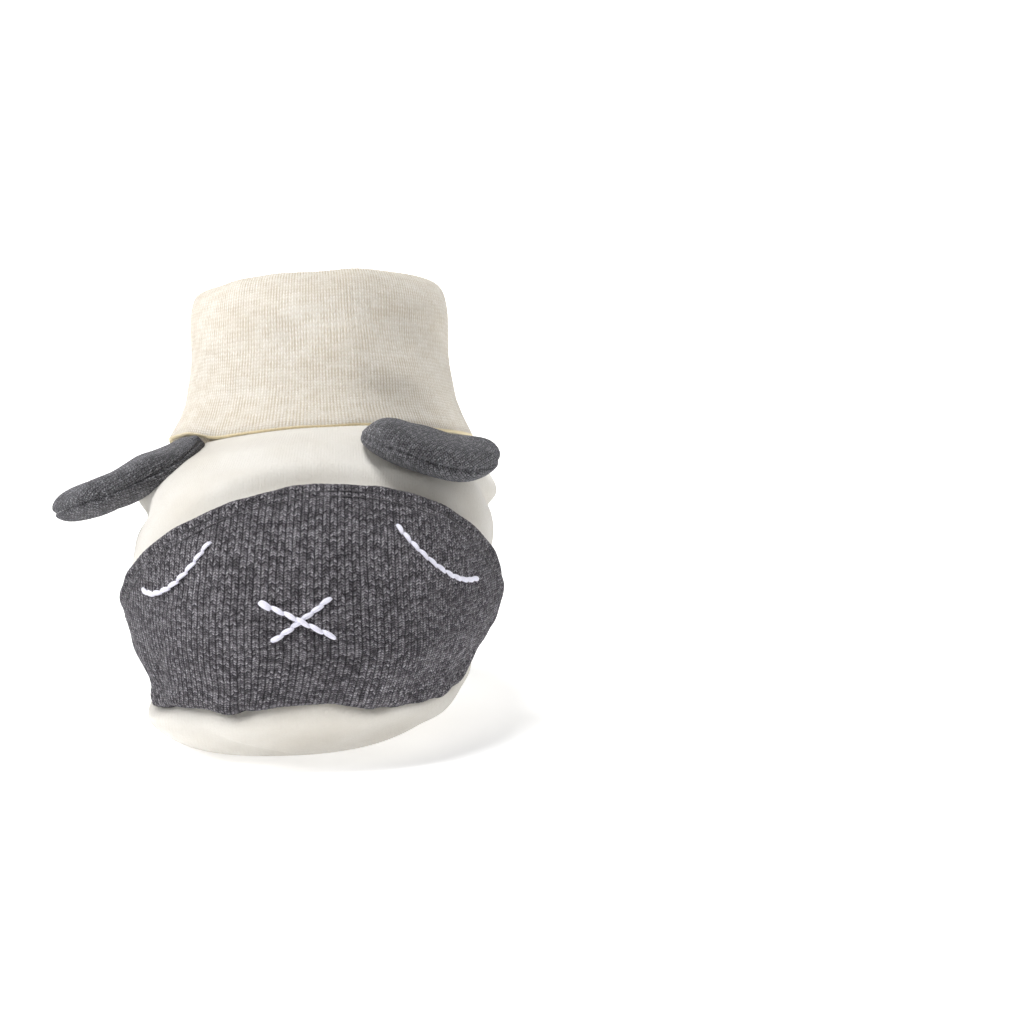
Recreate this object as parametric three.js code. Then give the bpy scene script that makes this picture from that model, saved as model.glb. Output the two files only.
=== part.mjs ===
// A soft baby bootie shaped like a sleeping lamb: a velour shoe with a turned-down rib cuff, a knitted toe
// panel embroidered with two closed eyes and a crossed nose, and two plump ears sewn on beside the cuff.
// Millimetres, +Z up, toe towards -Y. Left and right are those of someone who faces the toe: left is -X.
// The origin is the middle of the outsole's flat underside.

import * as THREE from 'three';
import { LoftGeometry } from 'three/addons/geometries/LoftGeometry.js';

const { degToRad, lerp, smoothstep } = THREE.MathUtils;

// ---- Fabric layers, as distances outwards from the bootie's shape ----
const GAP = 0.3; // between pieces that touch
const VELOUR = 1.5; // thickness of the velour outsole and upper
const PANEL_INSIDE = 0.5; // the knitted toe panel lies on the velour
const PANEL_OUTSIDE = 1.9;
const LINING_OUTSIDE = -2.9;
const LINING_INSIDE = -3.9;
const SEAM_THREAD_DEPTH = -2.2; // seam threads lie between the velour and the lining
const CUFF_THICKNESS = 2.2; // the rib tube is doubled

// ---- Threads ----
const SEAM_THREAD_RADIUS = 0.3;
const TOPSTITCH_RADIUS = 0.25;
const EMBROIDERY_RADIUS = 0.5;

// ---- Rings: level-ish closed outlines, from which every shell is lofted ----
// toe and heel are the Y of the ring's two ends, and toeZ and heelZ are the heights there. A positive egg
// makes the ring wider towards the toe.
const ring = (toe, heel, halfWidth, toeZ, heelZ, egg = 0) => ({ toe, heel, halfWidth, toeZ, heelZ, egg });
const RING_POWER = 2.25; // 2 is an ellipse, and more is squarer

const SOLE_SEAM = ring(-52, 52, 28.5, 12, 11, 0.1);

const UPPER_RINGS = [
  SOLE_SEAM,
  ring(-55, 54, 31.5, 20, 20, 0.08),
  ring(-53.5, 53, 32.8, 28, 28, 0.05),
  ring(-46, 50.5, 33, 38, 35, 0.03),
  ring(-33.5, 47, 32.5, 45.7, 39, 0),
  ring(-19, 44, 29, 50.2, 42, 0),
  ring(-5, 41.5, 23.5, 53.3, 44, 0),
];

// The cuff's middle layer: up from the ankle seam, over the fold, and down outside to the hem.
const CUFF_RINGS = [
  ring(-2.5, 40.5, 21.2, 55.2, 46),
  ring(1.5, 42, 19.3, 68, 59),
  ring(4.5, 45, 19.5, 78, 68.5),
  ring(3.2, 46.5, 21.2, 82.2, 72.5),
  ring(0.8, 47.8, 22.6, 78, 68.5),
  ring(-1.5, 46.5, 23, 68, 58.5),
  ring(-4.2, 45.5, 24.4, 60.5, 51),
  ring(-8.2, 46.8, 27.8, 55.3, 44.5),
];

// ---- Sole ----
const SOLE_FLAT = 0.66; // share of the seam's outline that lies flat on the floor
const WADDING_BOTTOM = VELOUR + 0.4;
const WADDING_TOP = 5;
const INSOLE_BOTTOM = WADDING_TOP + GAP;
const INSOLE_THICKNESS = 1.4;

// ---- Upper, and the toe panel sewn on it: t is 0 at the sole seam and 1 at the ankle ----
const HEEL_GAP_ANGLE = degToRad(0.2); // half the gap where the upper's two ends meet
const UPPER_LOW = 0.01;
const UPPER_HIGH = 0.985;
const PANEL_REACH = degToRad(88); // how far round the panel goes, on each side
const PANEL_PEAK = degToRad(8); // where it is highest
const PANEL_TOP = 0.7; // t there
const PANEL_SIDE = 0.19; // t of the two points that reach furthest round
const PANEL_FULLNESS = [0.95, 0.8]; // left and right of the peak: 1 is a cosine arch, and less is fuller
const PANEL_END = 0.998; // share of its reach at which it stops
const PANEL_CORNERS = [degToRad(-64), degToRad(54)]; // where its lower edge leaves the sole seam
const UPPER_RISE = 88; // distance over the toe for each 1 of t
const TOPSTITCH_REACH = degToRad(76);
const TOPSTITCH_SETBACKS = { panel_topstitch_outer: 3, panel_topstitch_inner: 4.7 };

// ---- Embroidery: points are an angle in degrees and t, on the panel ----
const EYE_LINE = [[27, 0.535], [32, 0.465], [39, 0.407], [49, 0.378]];
const NOSE_RISING_STROKE = [[-8, 0.26], [8, 0.37]];
const NOSE_FALLING_STROKE = [[-10, 0.365], [10, 0.28]];
const NOSE_CROSSING_RISE = 1.4; // the stroke on top clears the one beneath it

// ---- Ears ----
const EAR_LENGTH = 29.5;
const EAR_HALF_WIDTH = 12.5;
const EAR_CENTRE = 14; // from the root to the widest place
const EAR_HALF_THICKNESS = 3.5;
const EAR_BLUNTNESS = 6; // 2 is a lens, and more keeps its plumpness nearer the edge
const EAR_HEM = 0.86; // share of the way to the edge where the two leaves part round the wadding
const EAR_LEAF = 1.3; // thickness of a knitted leaf
const EAR_CORE_REACH = 0.93; // share of the hollow that the wadding fills
const EAR_ROOT_FLATNESS = 0.3; // share of its plumpness that the ear has at the root
const EAR_PLUMP_FROM = 16; // distance from the root to full plumpness
const EAR_ROOT_CLEARANCE = 2.6; // the root stands off the upper, so that the ear can flop
const EAR_ROOT_T = 0.925;
const LEFT_EAR = {
  root: degToRad(-54), heading: degToRad(110), droop: degToRad(25), roll: degToRad(9),
  turn: degToRad(10), curl: degToRad(-4), twist: degToRad(4),
};
const RIGHT_EAR = {
  root: degToRad(46), heading: degToRad(-150), droop: degToRad(2), roll: degToRad(-9),
  turn: degToRad(50), curl: degToRad(4), twist: degToRad(-9),
};

// ---- Steps of the faceted surfaces ----
const AROUND = 40;
const THREAD_SIDES = 8;
const EAR_SIDES = 24;

// ---- Surfaces ----
const RING_KEYS = Object.keys(SOLE_SEAM);

function pointOnRing(r, theta) {
  const cosine = Math.cos(theta);
  const sine = Math.sin(theta);
  const size = (Math.abs(cosine) ** RING_POWER + Math.abs(sine) ** RING_POWER) ** (-1 / RING_POWER);
  const forward = cosine * size;
  return new THREE.Vector3(
    r.halfWidth * sine * size * (1 + r.egg * forward),
    (r.toe + r.heel) / 2 + ((r.toe - r.heel) / 2) * forward,
    lerp(r.heelZ, r.toeZ, (1 + forward) / 2),
  );
}

function catmullRom(a, b, c, d, t) {
  return b + 0.5 * t * (c - a + t * (2 * a - 5 * b + 4 * c - d + t * (3 * (b - c) + d - a)));
}

// A smooth surface through rings. at(theta, t) has theta 0 at the toe and 90 degrees at +X, and t from 0 at
// the first ring to 1 at the last.
function surfaceThrough(rings) {
  const between = (t) => {
    const place = t * (rings.length - 1);
    const i = Math.min(Math.max(Math.floor(place), 0), rings.length - 2);
    const four = [i - 1, i, i + 1, i + 2].map((k) => rings[Math.min(Math.max(k, 0), rings.length - 1)]);
    return Object.fromEntries(RING_KEYS.map((key) => [key, catmullRom(...four.map((r) => r[key]), place - i)]));
  };
  return (theta, t) => pointOnRing(between(t), theta);
}

const UPPER = surfaceThrough(UPPER_RINGS);
const CUFF = surfaceThrough(CUFF_RINGS);

// The outsole's underside turns up to the seam as a quarter of an ellipse. t is 0 where it leaves the floor.
const soleRing = (scale, toeZ, heelZ) =>
  ring(SOLE_SEAM.toe * scale, SOLE_SEAM.heel * scale, SOLE_SEAM.halfWidth * scale, toeZ, heelZ, SOLE_SEAM.egg);
const SOLE = (theta, t) => {
  const angle = (t * Math.PI) / 2;
  const scale = lerp(SOLE_FLAT, 1, Math.sin(angle));
  const rise = 1 - Math.cos(angle);
  return pointOnRing(soleRing(scale, SOLE_SEAM.toeZ * rise, SOLE_SEAM.heelZ * rise), theta);
};

// The point of a surface moved along its outward normal.
const STEP = 1e-4;
function offsetPoint(surface, theta, t, distance) {
  const inRange = Math.min(Math.max(t, STEP), 1 - STEP);
  const around = surface(theta + STEP, inRange).sub(surface(theta - STEP, inRange));
  const along = surface(theta, inRange + STEP).sub(surface(theta, inRange - STEP));
  return surface(theta, t).addScaledVector(around.cross(along).normalize(), distance);
}

// ---- Solids ----
const steps = (count, from, to) => Array.from({ length: count + 1 }, (_, i) => lerp(from, to, i / count));

// A cloth sheet on a surface, between the offsets inside and outside. It runs from low to high in t, which
// may depend on theta, and goes right round unless from and to are given.
function clothSheet(surface, { inside, outside, low, high, along, from, to }) {
  const open = from !== undefined;
  const section = (theta, thickness = 1) => {
    const middle = (inside + outside) / 2;
    const half = (thickness * (outside - inside)) / 2;
    const rows = steps(along, low(theta), high(theta));
    const outer = rows.map((t) => offsetPoint(surface, theta, t, middle + half));
    const inner = rows.map((t) => offsetPoint(surface, theta, t, middle - half));
    return [...inner, ...outer.reverse()];
  };
  const thetas = steps(AROUND, open ? from : -Math.PI, open ? to : Math.PI);
  const sections = thetas.map((theta) => section(theta));
  if (open) {
    sections.unshift(section(from, 0));
    sections.push(section(to, 0));
  }
  return new LoftGeometry(sections);
}

// A closed shape through level rings, pinched to a point on the Z axis at each end.
function ringSolid(rows) {
  const turn = steps(AROUND, -Math.PI, Math.PI).slice(1);
  const pole = (z) => turn.map(() => new THREE.Vector3(0, 0, z));
  const sections = rows.map((row) => turn.map(row));
  return new LoftGeometry([pole(sections[0][0].z), ...sections, pole(sections.at(-1)[0].z)]);
}

function threadAlong(points, radius, count) {
  const circle = new THREE.Shape().absarc(0, 0, radius, 0, 2 * Math.PI);
  const extrudePath = new THREE.CatmullRomCurve3(points);
  return new THREE.ExtrudeGeometry(circle, { extrudePath, steps: count, curveSegments: THREAD_SIDES / 2 });
}

// ---- Materials ----
const cloth = (color, roughness = 0.95) => new THREE.MeshStandardMaterial({ color, roughness, metalness: 0 });
const VELOUR_CLOTH = cloth(0xf1efe8);
const RIB_CLOTH = cloth(0xf2ecdc);
const LINING_CLOTH = cloth(0xf3ead0);
const GREY_KNIT = cloth(0x55555a);
const WADDING = cloth(0xf6f6f4, 1);
const WHITE_THREAD = cloth(0xe9e8fb, 0.6);
const GREY_THREAD = cloth(0x3d3a3c, 0.7);
const CREAM_THREAD = cloth(0xefe9d9, 0.7);

const bootie = new THREE.Group();

function add(name, geometry, material, parent = bootie) {
  const mesh = new THREE.Mesh(geometry, material);
  mesh.name = name;
  parent.add(mesh);
  return mesh;
}

// ---- Sole: velour outsole, wadding and insole ----
const flatRow = (scale, z) => (theta) => pointOnRing(soleRing(scale, z, z), theta);

const soleRows = steps(6, 0, 1);
add('outsole', ringSolid([
  ...soleRows.map((t) => (theta) => offsetPoint(SOLE, theta, t, 0)),
  ...soleRows.toReversed().map((t) => (theta) => offsetPoint(SOLE, theta, t, -VELOUR)),
]), VELOUR_CLOTH);

add('sole_wadding', ringSolid([
  flatRow(0.62, WADDING_BOTTOM),
  flatRow(0.8, WADDING_BOTTOM + 1.2),
  flatRow(0.84, WADDING_TOP),
]), WADDING);

add('insole', ringSolid([
  flatRow(0.82, INSOLE_BOTTOM),
  flatRow(0.85, INSOLE_BOTTOM + INSOLE_THICKNESS / 2),
  flatRow(0.84, INSOLE_BOTTOM + INSOLE_THICKNESS),
]), LINING_CLOTH);

// ---- Toe panel, upper and lining ----
// The panel is an oval whose lower side is cut off by the sole seam.
const panelTop = (theta, setback = 0) => {
  const right = Number(theta > PANEL_PEAK);
  const reach = PANEL_REACH - setback / UPPER_RINGS[1].halfWidth + (right ? -PANEL_PEAK : PANEL_PEAK);
  const cosine = Math.cos(((theta - PANEL_PEAK) / reach) * (Math.PI / 2));
  return lerp(PANEL_SIDE, PANEL_TOP, Math.max(cosine, 0) ** PANEL_FULLNESS[right]) - setback / UPPER_RISE;
};
const cornerAt = (theta) => Math.abs(PANEL_CORNERS[theta < 0 ? 0 : 1]);
const panelLow = (theta) => {
  const share = Math.max((Math.abs(theta) - cornerAt(theta)) / (PANEL_REACH - cornerAt(theta)), 0);
  return PANEL_SIDE * (1 - Math.sqrt(Math.max(1 - share ** 2, 0)));
};

add('upper', clothSheet(UPPER, {
  inside: -VELOUR, outside: 0, low: () => UPPER_LOW, high: () => UPPER_HIGH, along: 9,
  from: HEEL_GAP_ANGLE - Math.PI, to: Math.PI - HEEL_GAP_ANGLE,
}), VELOUR_CLOTH);

add('toe_panel', clothSheet(UPPER, {
  inside: PANEL_INSIDE, outside: PANEL_OUTSIDE, low: panelLow, high: (theta) => panelTop(theta), along: 9,
  from: -PANEL_REACH * PANEL_END, to: PANEL_REACH * PANEL_END,
}), GREY_KNIT);

add('lining', clothSheet(UPPER, {
  inside: LINING_INSIDE, outside: LINING_OUTSIDE, low: () => 0.03, high: () => 0.93, along: 9,
}), LINING_CLOTH);

// ---- Rib cuff, turned down over the ankle ----
add('cuff', clothSheet(CUFF, {
  inside: -CUFF_THICKNESS / 2, outside: CUFF_THICKNESS / 2, low: () => 0, high: () => 1, along: 14,
}), RIB_CLOTH);

// ---- Seam threads ----
const ringThread = (surface, t, offset) =>
  steps(AROUND, degToRad(-179), degToRad(179)).map((theta) => offsetPoint(surface, theta, t, offset));
add('sole_seam_thread', threadAlong(ringThread(UPPER, 0.02, SEAM_THREAD_DEPTH), SEAM_THREAD_RADIUS, AROUND),
  CREAM_THREAD);
add('ankle_seam_thread', threadAlong(ringThread(UPPER, 0.965, SEAM_THREAD_DEPTH), SEAM_THREAD_RADIUS, AROUND),
  CREAM_THREAD);
const heelLine = steps(8, 0.08, 0.9).map((t) => offsetPoint(UPPER, Math.PI, t, SEAM_THREAD_DEPTH));
add('heel_seam_thread', threadAlong(heelLine, SEAM_THREAD_RADIUS, 12), CREAM_THREAD);

// ---- Twin rows of topstitching inside the panel's edge ----
for (const [name, setback] of Object.entries(TOPSTITCH_SETBACKS)) {
  const row = steps(28, -TOPSTITCH_REACH, TOPSTITCH_REACH).map((theta) =>
    offsetPoint(UPPER, theta, panelTop(theta, setback), PANEL_OUTSIDE + GAP + TOPSTITCH_RADIUS));
  add(name, threadAlong(row, TOPSTITCH_RADIUS, 36), GREY_THREAD);
}

// ---- Embroidery: points are theta in degrees and t, on the panel ----
const embroidered = (line) => line.map(([degrees, t, rise = 0]) =>
  offsetPoint(UPPER, degToRad(degrees), t, PANEL_OUTSIDE + GAP + EMBROIDERY_RADIUS + rise));
add('left_eye_thread', threadAlong(embroidered(EYE_LINE.map(([a, t]) => [-a, t])), EMBROIDERY_RADIUS, 16),
  WHITE_THREAD);
add('right_eye_thread', threadAlong(embroidered(EYE_LINE), EMBROIDERY_RADIUS, 16), WHITE_THREAD);

const noseStroke = ([start, end], crossingRise) => embroidered(steps(6, 0, 1).map((along) =>
  [lerp(start[0], end[0], along), lerp(start[1], end[1], along), crossingRise * Math.sin(Math.PI * along)]));
add('nose_thread_under', threadAlong(noseStroke(NOSE_RISING_STROKE, 0), EMBROIDERY_RADIUS, 8), WHITE_THREAD);
add('nose_thread_over', threadAlong(noseStroke(NOSE_FALLING_STROKE, NOSE_CROSSING_RISE), EMBROIDERY_RADIUS, 8),
  WHITE_THREAD);

// ---- Ears: two knitted leaves sewn edge to edge round a flat core of wadding ----
// In an ear's own frame +X runs along its root, +Y out from the root and +Z up through its thickness.

// The centreline turns sideways by turn and curls down by curl, and the ear twists about it by twist.
function earFrame(distance, { turn, curl, twist }) {
  const heading = (share) => {
    const yaw = turn * smoothstep(share, 0, 0.6);
    const pitch = -curl * share;
    return new THREE.Vector3(
      Math.sin(yaw) * Math.cos(pitch), Math.cos(yaw) * Math.cos(pitch), Math.sin(pitch));
  };
  const at = new THREE.Vector3();
  const parts = 12;
  for (let i = 0; i < parts; i++) {
    at.addScaledVector(heading((distance * (i + 0.5)) / parts / EAR_LENGTH), distance / parts);
  }
  const share = Math.max(distance / EAR_LENGTH, 0);
  const forward = heading(share);
  const across = new THREE.Vector3(forward.y, -forward.x, 0).normalize()
    .applyAxisAngle(forward, twist * smoothstep(share, 0, 1));
  return { at, across, up: across.clone().cross(forward) };
}

// A point of the ear: share is 0 at its middle and 1 at its edge, level is the height over the seam's plane
// of a flat leaf, and swell is what the wadding adds to it.
function earPoint(angle, share, level, swell, bend) {
  const tip = EAR_LENGTH - EAR_CENTRE;
  const oval = 1 / Math.hypot(Math.cos(angle) / EAR_HALF_WIDTH, Math.sin(angle) / tip);
  const toRoot = Math.sin(angle) < 0 ? EAR_CENTRE / -Math.sin(angle) : Infinity;
  const reach = Math.min(oval, toRoot) * share;
  const distance = EAR_CENTRE + reach * Math.sin(angle);
  const plumpness = lerp(EAR_ROOT_FLATNESS, 1, smoothstep(distance, 0, EAR_PLUMP_FROM));
  const { at, across, up } = earFrame(distance, bend);
  return at.addScaledVector(across, reach * Math.cos(angle)).addScaledVector(up, level + swell * plumpness);
}

// A closed shape between two faces, each with its level and its swell at the middle, where reach is the
// share of the ear's outline that it fills and hem the share at which a face's swell has died away.
function earSolid(reach, over, under, bend) {
  const angles = steps(EAR_SIDES, 0, 2 * Math.PI).slice(1);
  const shares = [0, 0.5, 0.8, 0.93, 1].map((share) => share * reach);
  const row = ({ level, swell, hem }) => (share) =>
    angles.map((angle) => earPoint(angle, share, level, swell * dome(share / hem), bend));
  return new LoftGeometry([...shares.map(row(under)), ...shares.toReversed().map(row(over))]);
}

const dome = (share) => Math.sqrt(Math.max(1 - share ** EAR_BLUNTNESS, 0));

function addEar(name, { root, heading, droop, roll, ...bend }) {
  const ear = new THREE.Group();
  ear.position.copy(offsetPoint(UPPER, root, EAR_ROOT_T, EAR_ROOT_CLEARANCE));
  ear.rotation.set(-droop, roll, heading, 'ZYX');
  bootie.add(ear);
  const outside = { level: GAP / 2, swell: EAR_HALF_THICKNESS - GAP / 2, hem: 1 };
  const hollow = { level: GAP / 2, swell: EAR_HALF_THICKNESS - GAP / 2 - EAR_LEAF, hem: EAR_HEM };
  const core = { level: 0, swell: hollow.swell - GAP / 2, hem: EAR_HEM * EAR_CORE_REACH };
  const mirrored = (face) => ({ ...face, level: -face.level, swell: -face.swell });
  add(`${name}_top`, earSolid(1, outside, hollow, bend), GREY_KNIT, ear);
  add(`${name}_under`, earSolid(1, mirrored(hollow), mirrored(outside), bend), GREY_KNIT, ear);
  add(`${name}_wadding`, earSolid(core.hem, core, mirrored(core), bend), WADDING, ear);
}

addEar('left_ear', LEFT_EAR);
addEar('right_ear', RIGHT_EAR);

export default bootie;
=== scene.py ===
"""Looks of the baby bootie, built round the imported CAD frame. Lengths are in mm until a mesh is made."""
import math
import bpy
import numpy as np
from mathutils import Matrix, Vector


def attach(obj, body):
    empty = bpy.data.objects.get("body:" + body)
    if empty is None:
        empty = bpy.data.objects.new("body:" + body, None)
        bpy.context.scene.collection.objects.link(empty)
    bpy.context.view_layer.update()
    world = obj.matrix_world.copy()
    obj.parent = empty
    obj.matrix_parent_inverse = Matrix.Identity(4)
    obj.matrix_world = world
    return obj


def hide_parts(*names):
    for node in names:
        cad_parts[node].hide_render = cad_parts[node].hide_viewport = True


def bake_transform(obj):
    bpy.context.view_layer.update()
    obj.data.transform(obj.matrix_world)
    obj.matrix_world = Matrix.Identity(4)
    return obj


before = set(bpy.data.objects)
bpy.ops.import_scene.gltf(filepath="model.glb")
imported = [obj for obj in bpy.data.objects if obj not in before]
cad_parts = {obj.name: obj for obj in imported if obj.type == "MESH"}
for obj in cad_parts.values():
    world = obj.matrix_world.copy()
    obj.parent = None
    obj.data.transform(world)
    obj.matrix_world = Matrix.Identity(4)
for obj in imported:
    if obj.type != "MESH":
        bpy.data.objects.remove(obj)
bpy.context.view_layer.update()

MM = 0.001
FAR = 1e9  # more than any distance here

# ---------------------------------------------------------------- surfaces, as in the CAD source
RING_POWER = 2.25
SOLE_SEAM = (-52, 52, 28.5, 12, 11, 0.1)  # toe y, heel y, half width, toe z, heel z, egg
UPPER_RINGS = [SOLE_SEAM, (-55, 54, 31.5, 20, 20, 0.08), (-53.5, 53, 32.8, 28, 28, 0.05),
               (-46, 50.5, 33, 38, 35, 0.03), (-33.5, 47, 32.5, 45.7, 39, 0), (-19, 44, 29, 50.2, 42, 0),
               (-5, 41.5, 23.5, 53.3, 44, 0)]
CUFF_RINGS = [(-2.5, 40.5, 21.2, 55.2, 46, 0), (1.5, 42, 19.3, 68, 59, 0), (4.5, 45, 19.5, 78, 68.5, 0),
              (3.2, 46.5, 21.2, 82.2, 72.5, 0), (0.8, 47.8, 22.6, 78, 68.5, 0), (-1.5, 46.5, 23, 68, 58.5, 0),
              (-4.2, 45.5, 24.4, 60.5, 51, 0), (-8.2, 46.8, 27.8, 55.3, 44.5, 0)]
SOLE_FLAT = 0.66  # outline of the flat under face, as a share of the sole seam's
VELOUR = 1.5  # thickness of the white cloth
PANEL_INSIDE, PANEL_OUTSIDE = 0.5, 1.9  # its two faces, from the upper's surface
PANEL_REACH, PANEL_PEAK = math.radians(88), math.radians(8)
PANEL_TOP, PANEL_SIDE = 0.7, 0.19  # t of its highest point and of its two tips
PANEL_END = 0.998  # share of the reach at which the cloth ends
PANEL_FULLNESS = 0.95, 0.8  # left and right of its peak
PANEL_CORNERS = math.radians(64), math.radians(50)  # where its lower edge leaves the sole seam, left and right
LINING_OUTSIDE, LINING_INSIDE = -2.9, -3.9
CUFF_HALF = 1.1  # half the thickness of the cuff's cloth


def ring_point(ring, theta):
    c, s = np.cos(theta), np.sin(theta)
    size = (np.abs(c) ** RING_POWER + np.abs(s) ** RING_POWER) ** (-1 / RING_POWER)
    forward = c * size
    toe, heel, width, toe_z, heel_z, egg = ring
    return np.stack([width * s * size * (1 + egg * forward), (toe + heel) / 2 + (toe - heel) / 2 * forward,
                     heel_z + (toe_z - heel_z) * (1 + forward) / 2], -1)


def surface(rings):
    rings = np.array(rings, float)

    def at(theta, t):
        theta, t = np.broadcast_arrays(np.asarray(theta, float), np.asarray(t, float))
        place = t * (len(rings) - 1)
        i = np.clip(np.floor(place).astype(int), 0, len(rings) - 2)
        q = (place - i)[..., None]
        a, b, c, d = (rings[np.clip(i + k, 0, len(rings) - 1)] for k in (-1, 0, 1, 2))
        ring = b + 0.5 * q * (c - a + q * (2 * a - 5 * b + 4 * c - d + q * (3 * (b - c) + d - a)))
        return ring_point([ring[..., k] for k in range(6)], theta)
    return at


def sole_surface(theta, t):
    theta, t = np.broadcast_arrays(np.asarray(theta, float), np.asarray(t, float))
    scale = SOLE_FLAT + (1 - SOLE_FLAT) * np.sin(t * math.pi / 2)
    rise = 1 - np.cos(t * math.pi / 2)
    toe, heel, width, toe_z, heel_z, egg = SOLE_SEAM
    return ring_point((toe * scale, heel * scale, width * scale, toe_z * rise, heel_z * rise, egg), theta)


def offset(at, theta, t, distance):
    e = 1e-4
    inside = np.clip(t, e, 1 - e)
    n = np.cross(at(theta + e, inside) - at(theta - e, inside), at(theta, inside + e) - at(theta, inside - e))
    n /= np.linalg.norm(n, axis=-1, keepdims=True)
    return at(theta, t) + n * np.asarray(distance)[..., None]


UPPER = surface(UPPER_RINGS)
CUFF = surface(CUFF_RINGS)


# ---------------------------------------------------------------- numbers
def smooth(x, low, high):
    q = np.clip((x - low) / (high - low), 0, 1)
    return q * q * (3 - 2 * q)


def spline(x, knots, values):
    """A smooth curve through the values at the knots, flat beyond the ends."""
    knots, values = np.array(knots, float), np.array(values, float)
    slope = np.gradient(values, knots)
    slope[0] = slope[-1] = 0
    x = np.clip(x, knots[0], knots[-1])
    i = np.clip(np.searchsorted(knots, x, side="right") - 1, 0, len(knots) - 2)
    h = knots[i + 1] - knots[i]
    q = (x - knots[i]) / h
    return (values[i] * (1 + 2 * q) * (1 - q) ** 2 + slope[i] * h * q * (1 - q) ** 2
            + values[i + 1] * q * q * (3 - 2 * q) + slope[i + 1] * h * q * q * (q - 1))


def bump(x, middle, width):
    return np.exp(-((x - middle) / width) ** 2)


def ripples(points, size, seed, count=14):
    """Soft random unevenness, mostly between -1 and 1, over points in mm, with features of about size."""
    rng = np.random.default_rng(seed)
    total = np.zeros(points.shape[:-1])
    for _ in range(count):
        way = rng.normal(size=3)
        way *= 2 * math.pi / (size * rng.uniform(0.8, 1.8)) / np.linalg.norm(way)
        total += np.sin(points @ way + rng.uniform(0, 2 * math.pi))
    return total / math.sqrt(count)


def run_length(points):
    """The distance along a line of points to each of them."""
    return np.concatenate([[0], np.cumsum(np.linalg.norm(np.diff(points, axis=0), axis=1))])


def point_at(distance, run, points):
    """The points at these distances along a line of points."""
    return np.stack([np.interp(distance, run, points[:, k]) for k in range(3)], -1)


def crease(theta, t, line, width, at=UPPER):
    """1 on a line of (theta degrees, t) points over a surface, fading to 0 over width mm and towards its ends."""
    line = np.array(line, float)
    count, end_share, end_width = 60, 0.35, 1.3
    along = np.linspace(0, 1, count)
    knots = np.linspace(0, 1, len(line))
    path = at(np.radians(spline(along, knots, line[:, 0])), spline(along, knots, line[:, 1]))
    points = at(theta, t)
    nearest = np.full(points.shape[:-1], FAR)
    for i, p in enumerate(path):
        taper = min(i, count - 1 - i) / (count * end_share)
        faded = max(1 - taper, 0) * width * end_width
        nearest = np.minimum(nearest, np.sum((points - p) ** 2, -1) + faded ** 2)
    return np.exp(-nearest / width ** 2)


def creases(theta, t, folds, at=UPPER):
    """The sum of several folds, each (mm outwards, width, line)."""
    return sum(height * crease(theta, t, line, width, at) for height, width, line in folds)


def rib(u, sharpness=0.75):
    """Height from 0 in the valley to 1 on the crest of each wale."""
    return np.abs(np.sin(np.pi * u)) ** sharpness


def equal_arc(at, t, count, reach=math.pi):
    """count + 1 angles between -reach and reach, the same distance apart along the ring at t, and that length."""
    theta = np.linspace(-reach, reach, 4001)
    run = run_length(at(theta, t))
    return np.interp(np.linspace(0, run[-1], count + 1), run, theta), run[-1]


def equal_wales(at, t, pitch, steps, reach=math.pi):
    """Angles over a whole number of wales about pitch mm wide, steps to a wale, and the wale at each angle."""
    _, length = equal_arc(at, t, 1, reach)
    count = int(round(length / pitch)) * steps
    return equal_arc(at, t, count, reach)[0], np.arange(count + 1) / steps


# ---------------------------------------------------------------- meshes
def add_mesh(name, vertices, faces):
    mesh = bpy.data.meshes.new(name)
    mesh.from_pydata(vertices, [], faces)
    mesh.shade_smooth()
    ob = bpy.data.objects.new(name, mesh)
    bpy.context.scene.collection.objects.link(ob)
    return ob


def quads(values):
    """The four corners of each cell of a grid of values."""
    corners = np.stack([values[:-1, :-1], values[1:, :-1], values[1:, 1:], values[:-1, 1:]], 2)
    return corners.reshape(-1, 4, *values.shape[2:])


def grid(name, points, uv=None, wrap=(False, False), caps=False, poles=False, flip=False):
    """A mesh over a grid of points in mm. A wrapped direction repeats its first row as its last. caps closes the
    two ends of a flattened loop, and poles welds each end row of the first direction to one point."""
    rows, cols = points.shape[:2]
    n, m = rows - wrap[0], cols - wrap[1]
    index = (np.arange(rows)[:, None] % n) * m + np.arange(cols)[None, :] % m
    vertices = points[:n, :m].reshape(-1, 3)
    mapped = uv is not None
    uv = uv if mapped else np.zeros((rows, cols, 2))
    faces, corners = quads(index), quads(uv)
    if caps:
        k = np.arange(m // 2 - 1)
        for row, way in ((0, 1), (n - 1, -1)):
            across = index[row, k], index[row, k + 1], index[row, m - 2 - k], index[row, m - 1 - k]
            cap = np.stack(across, -1)[:, ::way]
            faces = np.concatenate([faces, cap])
            corners = np.concatenate([corners, np.zeros((len(cap), 4, 2)) + uv[row, 0]])
    if flip:
        faces, corners = faces[:, ::-1], corners[:, ::-1]
    if poles:
        weld = np.arange(len(vertices))
        weld[:m] = 0
        weld[(n - 1) * m:] = (n - 1) * m
        used, faces = np.unique(weld[faces], return_inverse=True)
        faces = faces.reshape(-1, 4)
        vertices = vertices[used]
    kept = faces != np.roll(faces, 1, 1)  # a quad at a pole keeps three corners
    polygons = [[v for v, keep in zip(f, k) if keep] for f, k in zip(faces.tolist(), kept.tolist())]
    ob = add_mesh(name, (vertices * MM).tolist(), polygons)
    if mapped:
        layer = ob.data.uv_layers.new(name="weave")
        layer.data.foreach_set("uv", corners[kept].astype(np.float32).ravel())
    return ob


def row_map(u, v):
    """A weave map with one u for each row of a grid, and a v for each point."""
    return np.stack([np.broadcast_to(u[:, None], v.shape), v], -1)


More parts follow.
